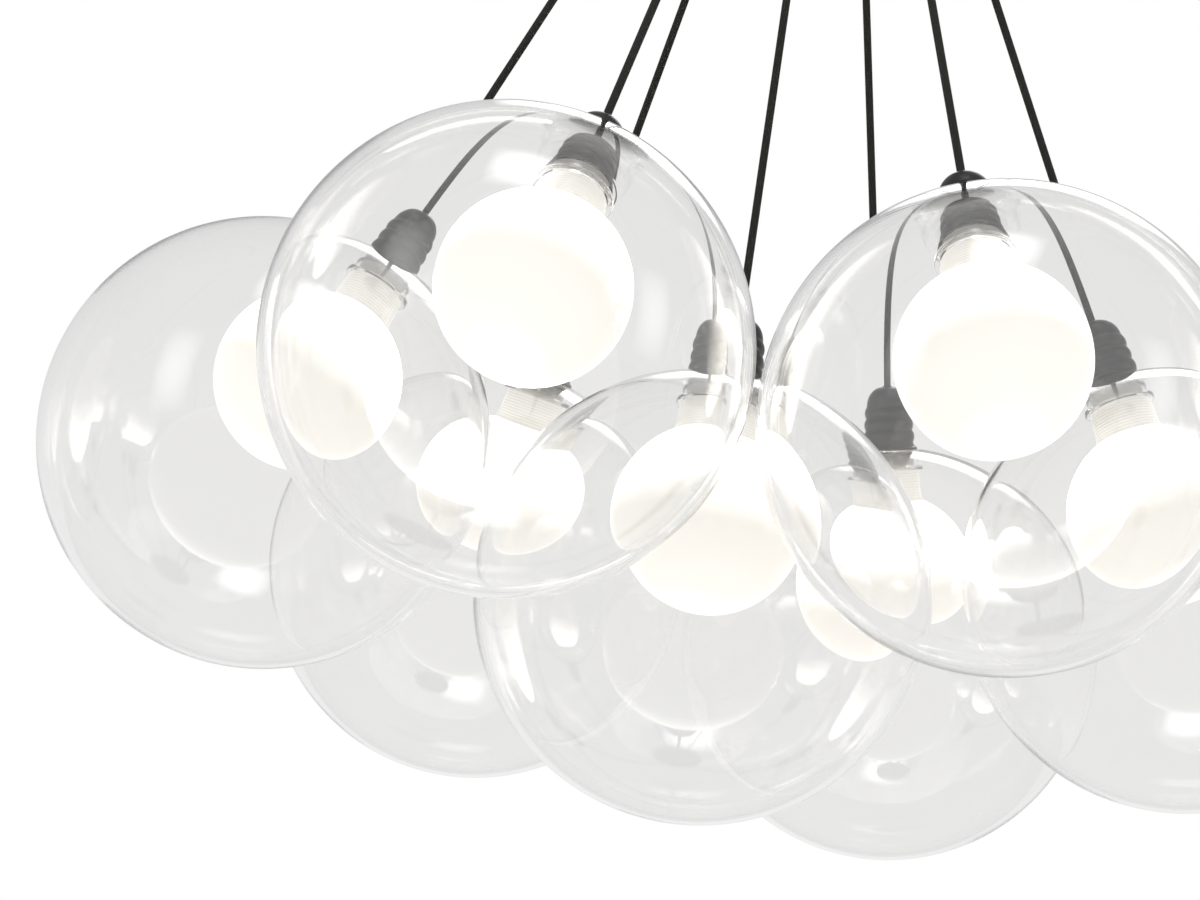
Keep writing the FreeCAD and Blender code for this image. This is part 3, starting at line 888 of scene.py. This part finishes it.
def make_cord_ends(s, surface):
    """The ends of the cords, each from its gland up and over to the terminal block."""
    ends = bmesh.new()
    for pendant in PENDANTS:
        pivot = pivot_of(pendant)
        inward = Vector((-pivot.x, -pivot.y, 0.0))
        stations = CENTRE_END_STATIONS if inward.length < s.block_width / 2 else RING_END_STATIONS
        inward.normalize()
        foot = Vector((pivot.x, pivot.y, 0.0))
        route = spline_route([foot + inward * way + Vector((0, 0, height)) for way, height in stations])
        sweep(ends, route, s.cord_radius, CORD_END_SIDES)
    made = piece("braided_cord_ends", ends, surface, Matrix.Identity(4))
    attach(made, "canopy")
    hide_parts("cord_tails")


def make_for_pendants(name, node, profile, segments, surface, softened=None):
    """Spins one profile for every pendant, in place of a CAD node."""
    for pendant in PENDANTS:
        bm = spun(profile, segments)
        if softened:
            soften_edges(bm, *softened)
        made = piece(f"{name}_{pendant}", bm, surface, pendant_matrix(pendant))
        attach(made, f"pendant_{pendant}")
        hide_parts(f"{node}_{pendant}")


class PENDANT_OT_globes(bpy.types.Operator):
    """Builds the seven clear glass globes"""

    bl_idname = "pendant.globes"
    bl_label = "Clear globes"

    def execute(self, context):
        make_for_pendants(
            "clear_globe", "globe", globe_profile(sizes()), GLOBE_SEGMENTS, clear_glass(),
            softened=GLASS_EDGE,
        )
        return {"FINISHED"}


class PENDANT_OT_balls(bpy.types.Operator):
    """Builds the seven lit opal balls"""

    bl_idname = "pendant.balls"
    bl_label = "Opal balls"

    def execute(self, context):
        make_for_pendants(
            "opal_ball", "inner_ball", ball_profile(sizes()), BALL_SEGMENTS, opal_glass()
        )
        return {"FINISHED"}


class PENDANT_OT_holders(bpy.types.Operator):
    """Builds the seven ribbed rubber holders"""

    bl_idname = "pendant.holders"
    bl_label = "Ribbed holders"

    def execute(self, context):
        make_for_pendants(
            "ribbed_holder", "holder_cap", holder_profile(sizes()), HOLDER_SEGMENTS,
            black_rubber(), softened=RUBBER_EDGE,
        )
        return {"FINISHED"}


class PENDANT_OT_sockets(bpy.types.Operator):
    """Finishes the lamp sockets, their lamps and cord grips"""

    bl_idname = "pendant.sockets"
    bl_label = "Sockets and lamps"

    def execute(self, context):
        white = moulding("white_plastic", finish().moulding, 0.35)
        black = moulding("black_plastic", finish().black_moulding, 0.4)
        for node, surface in (("lamp_socket", white), ("led_lamp", white), ("cord_grip", black)):
            dress([f"{node}_{pendant}" for pendant in PENDANTS], surface)
        return {"FINISHED"}


class PENDANT_OT_canopy(bpy.types.Operator):
    """Finishes the canopy with its bracket, screws, glands and terminal block"""

    bl_idname = "pendant.canopy"
    bl_label = "Canopy"

    def execute(self, context):
        dress(["canopy_cup", "canopy_nuts"], powder_coat())
        dress(["mounting_bracket", "canopy_studs"], metal("steel", finish().steel, 0.25))
        dress(["block_screws", "earth_screw"], metal("brass", finish().brass, 0.25))
        dress(["cord_glands", "gland_locknuts"], moulding("gland_plastic", finish().black_moulding, 0.45))
        dress(["terminal_block"], moulding("block_plastic", finish().moulding, 0.35))
        return {"FINISHED"}


class PENDANT_PT_panel(bpy.types.Panel):
    """The steps of the cluster pendant"""

    bl_idname = "PENDANT_PT_panel"
    bl_label = "Cluster pendant"
    bl_space_type = "VIEW_3D"
    bl_region_type = "UI"
    bl_category = "Cluster pendant"

    def draw(self, context):
        for step in STEPS:
            self.layout.operator(step.bl_idname)


STEPS = (
    PENDANT_OT_stage,
    PENDANT_OT_cords,
    PENDANT_OT_globes,
    PENDANT_OT_balls,
    PENDANT_OT_holders,
    PENDANT_OT_sockets,
    PENDANT_OT_canopy,
)
GROUPS = {"pendant_sizes": PendantSizes, "pendant_finish": PendantFinish, "pendant_studio": StudioSettings}


def register():
    """Adds the classes and the scene's settings."""
    for group in (*GROUPS.values(), *STEPS, PENDANT_PT_panel):
        bpy.utils.register_class(group)
    for name, group in GROUPS.items():
        setattr(bpy.types.Scene, name, PointerProperty(type=group))


def unregister():
    """Takes them away again."""
    for name in GROUPS:
        delattr(bpy.types.Scene, name)
    for group in reversed((*GROUPS.values(), *STEPS, PENDANT_PT_panel)):
        bpy.utils.unregister_class(group)


def main():
    """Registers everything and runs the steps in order."""
    register()
    for step in STEPS:
        group, name = step.bl_idname.split(".")
        getattr(getattr(bpy.ops, group), name)()


if __name__ == "__main__":
    main()
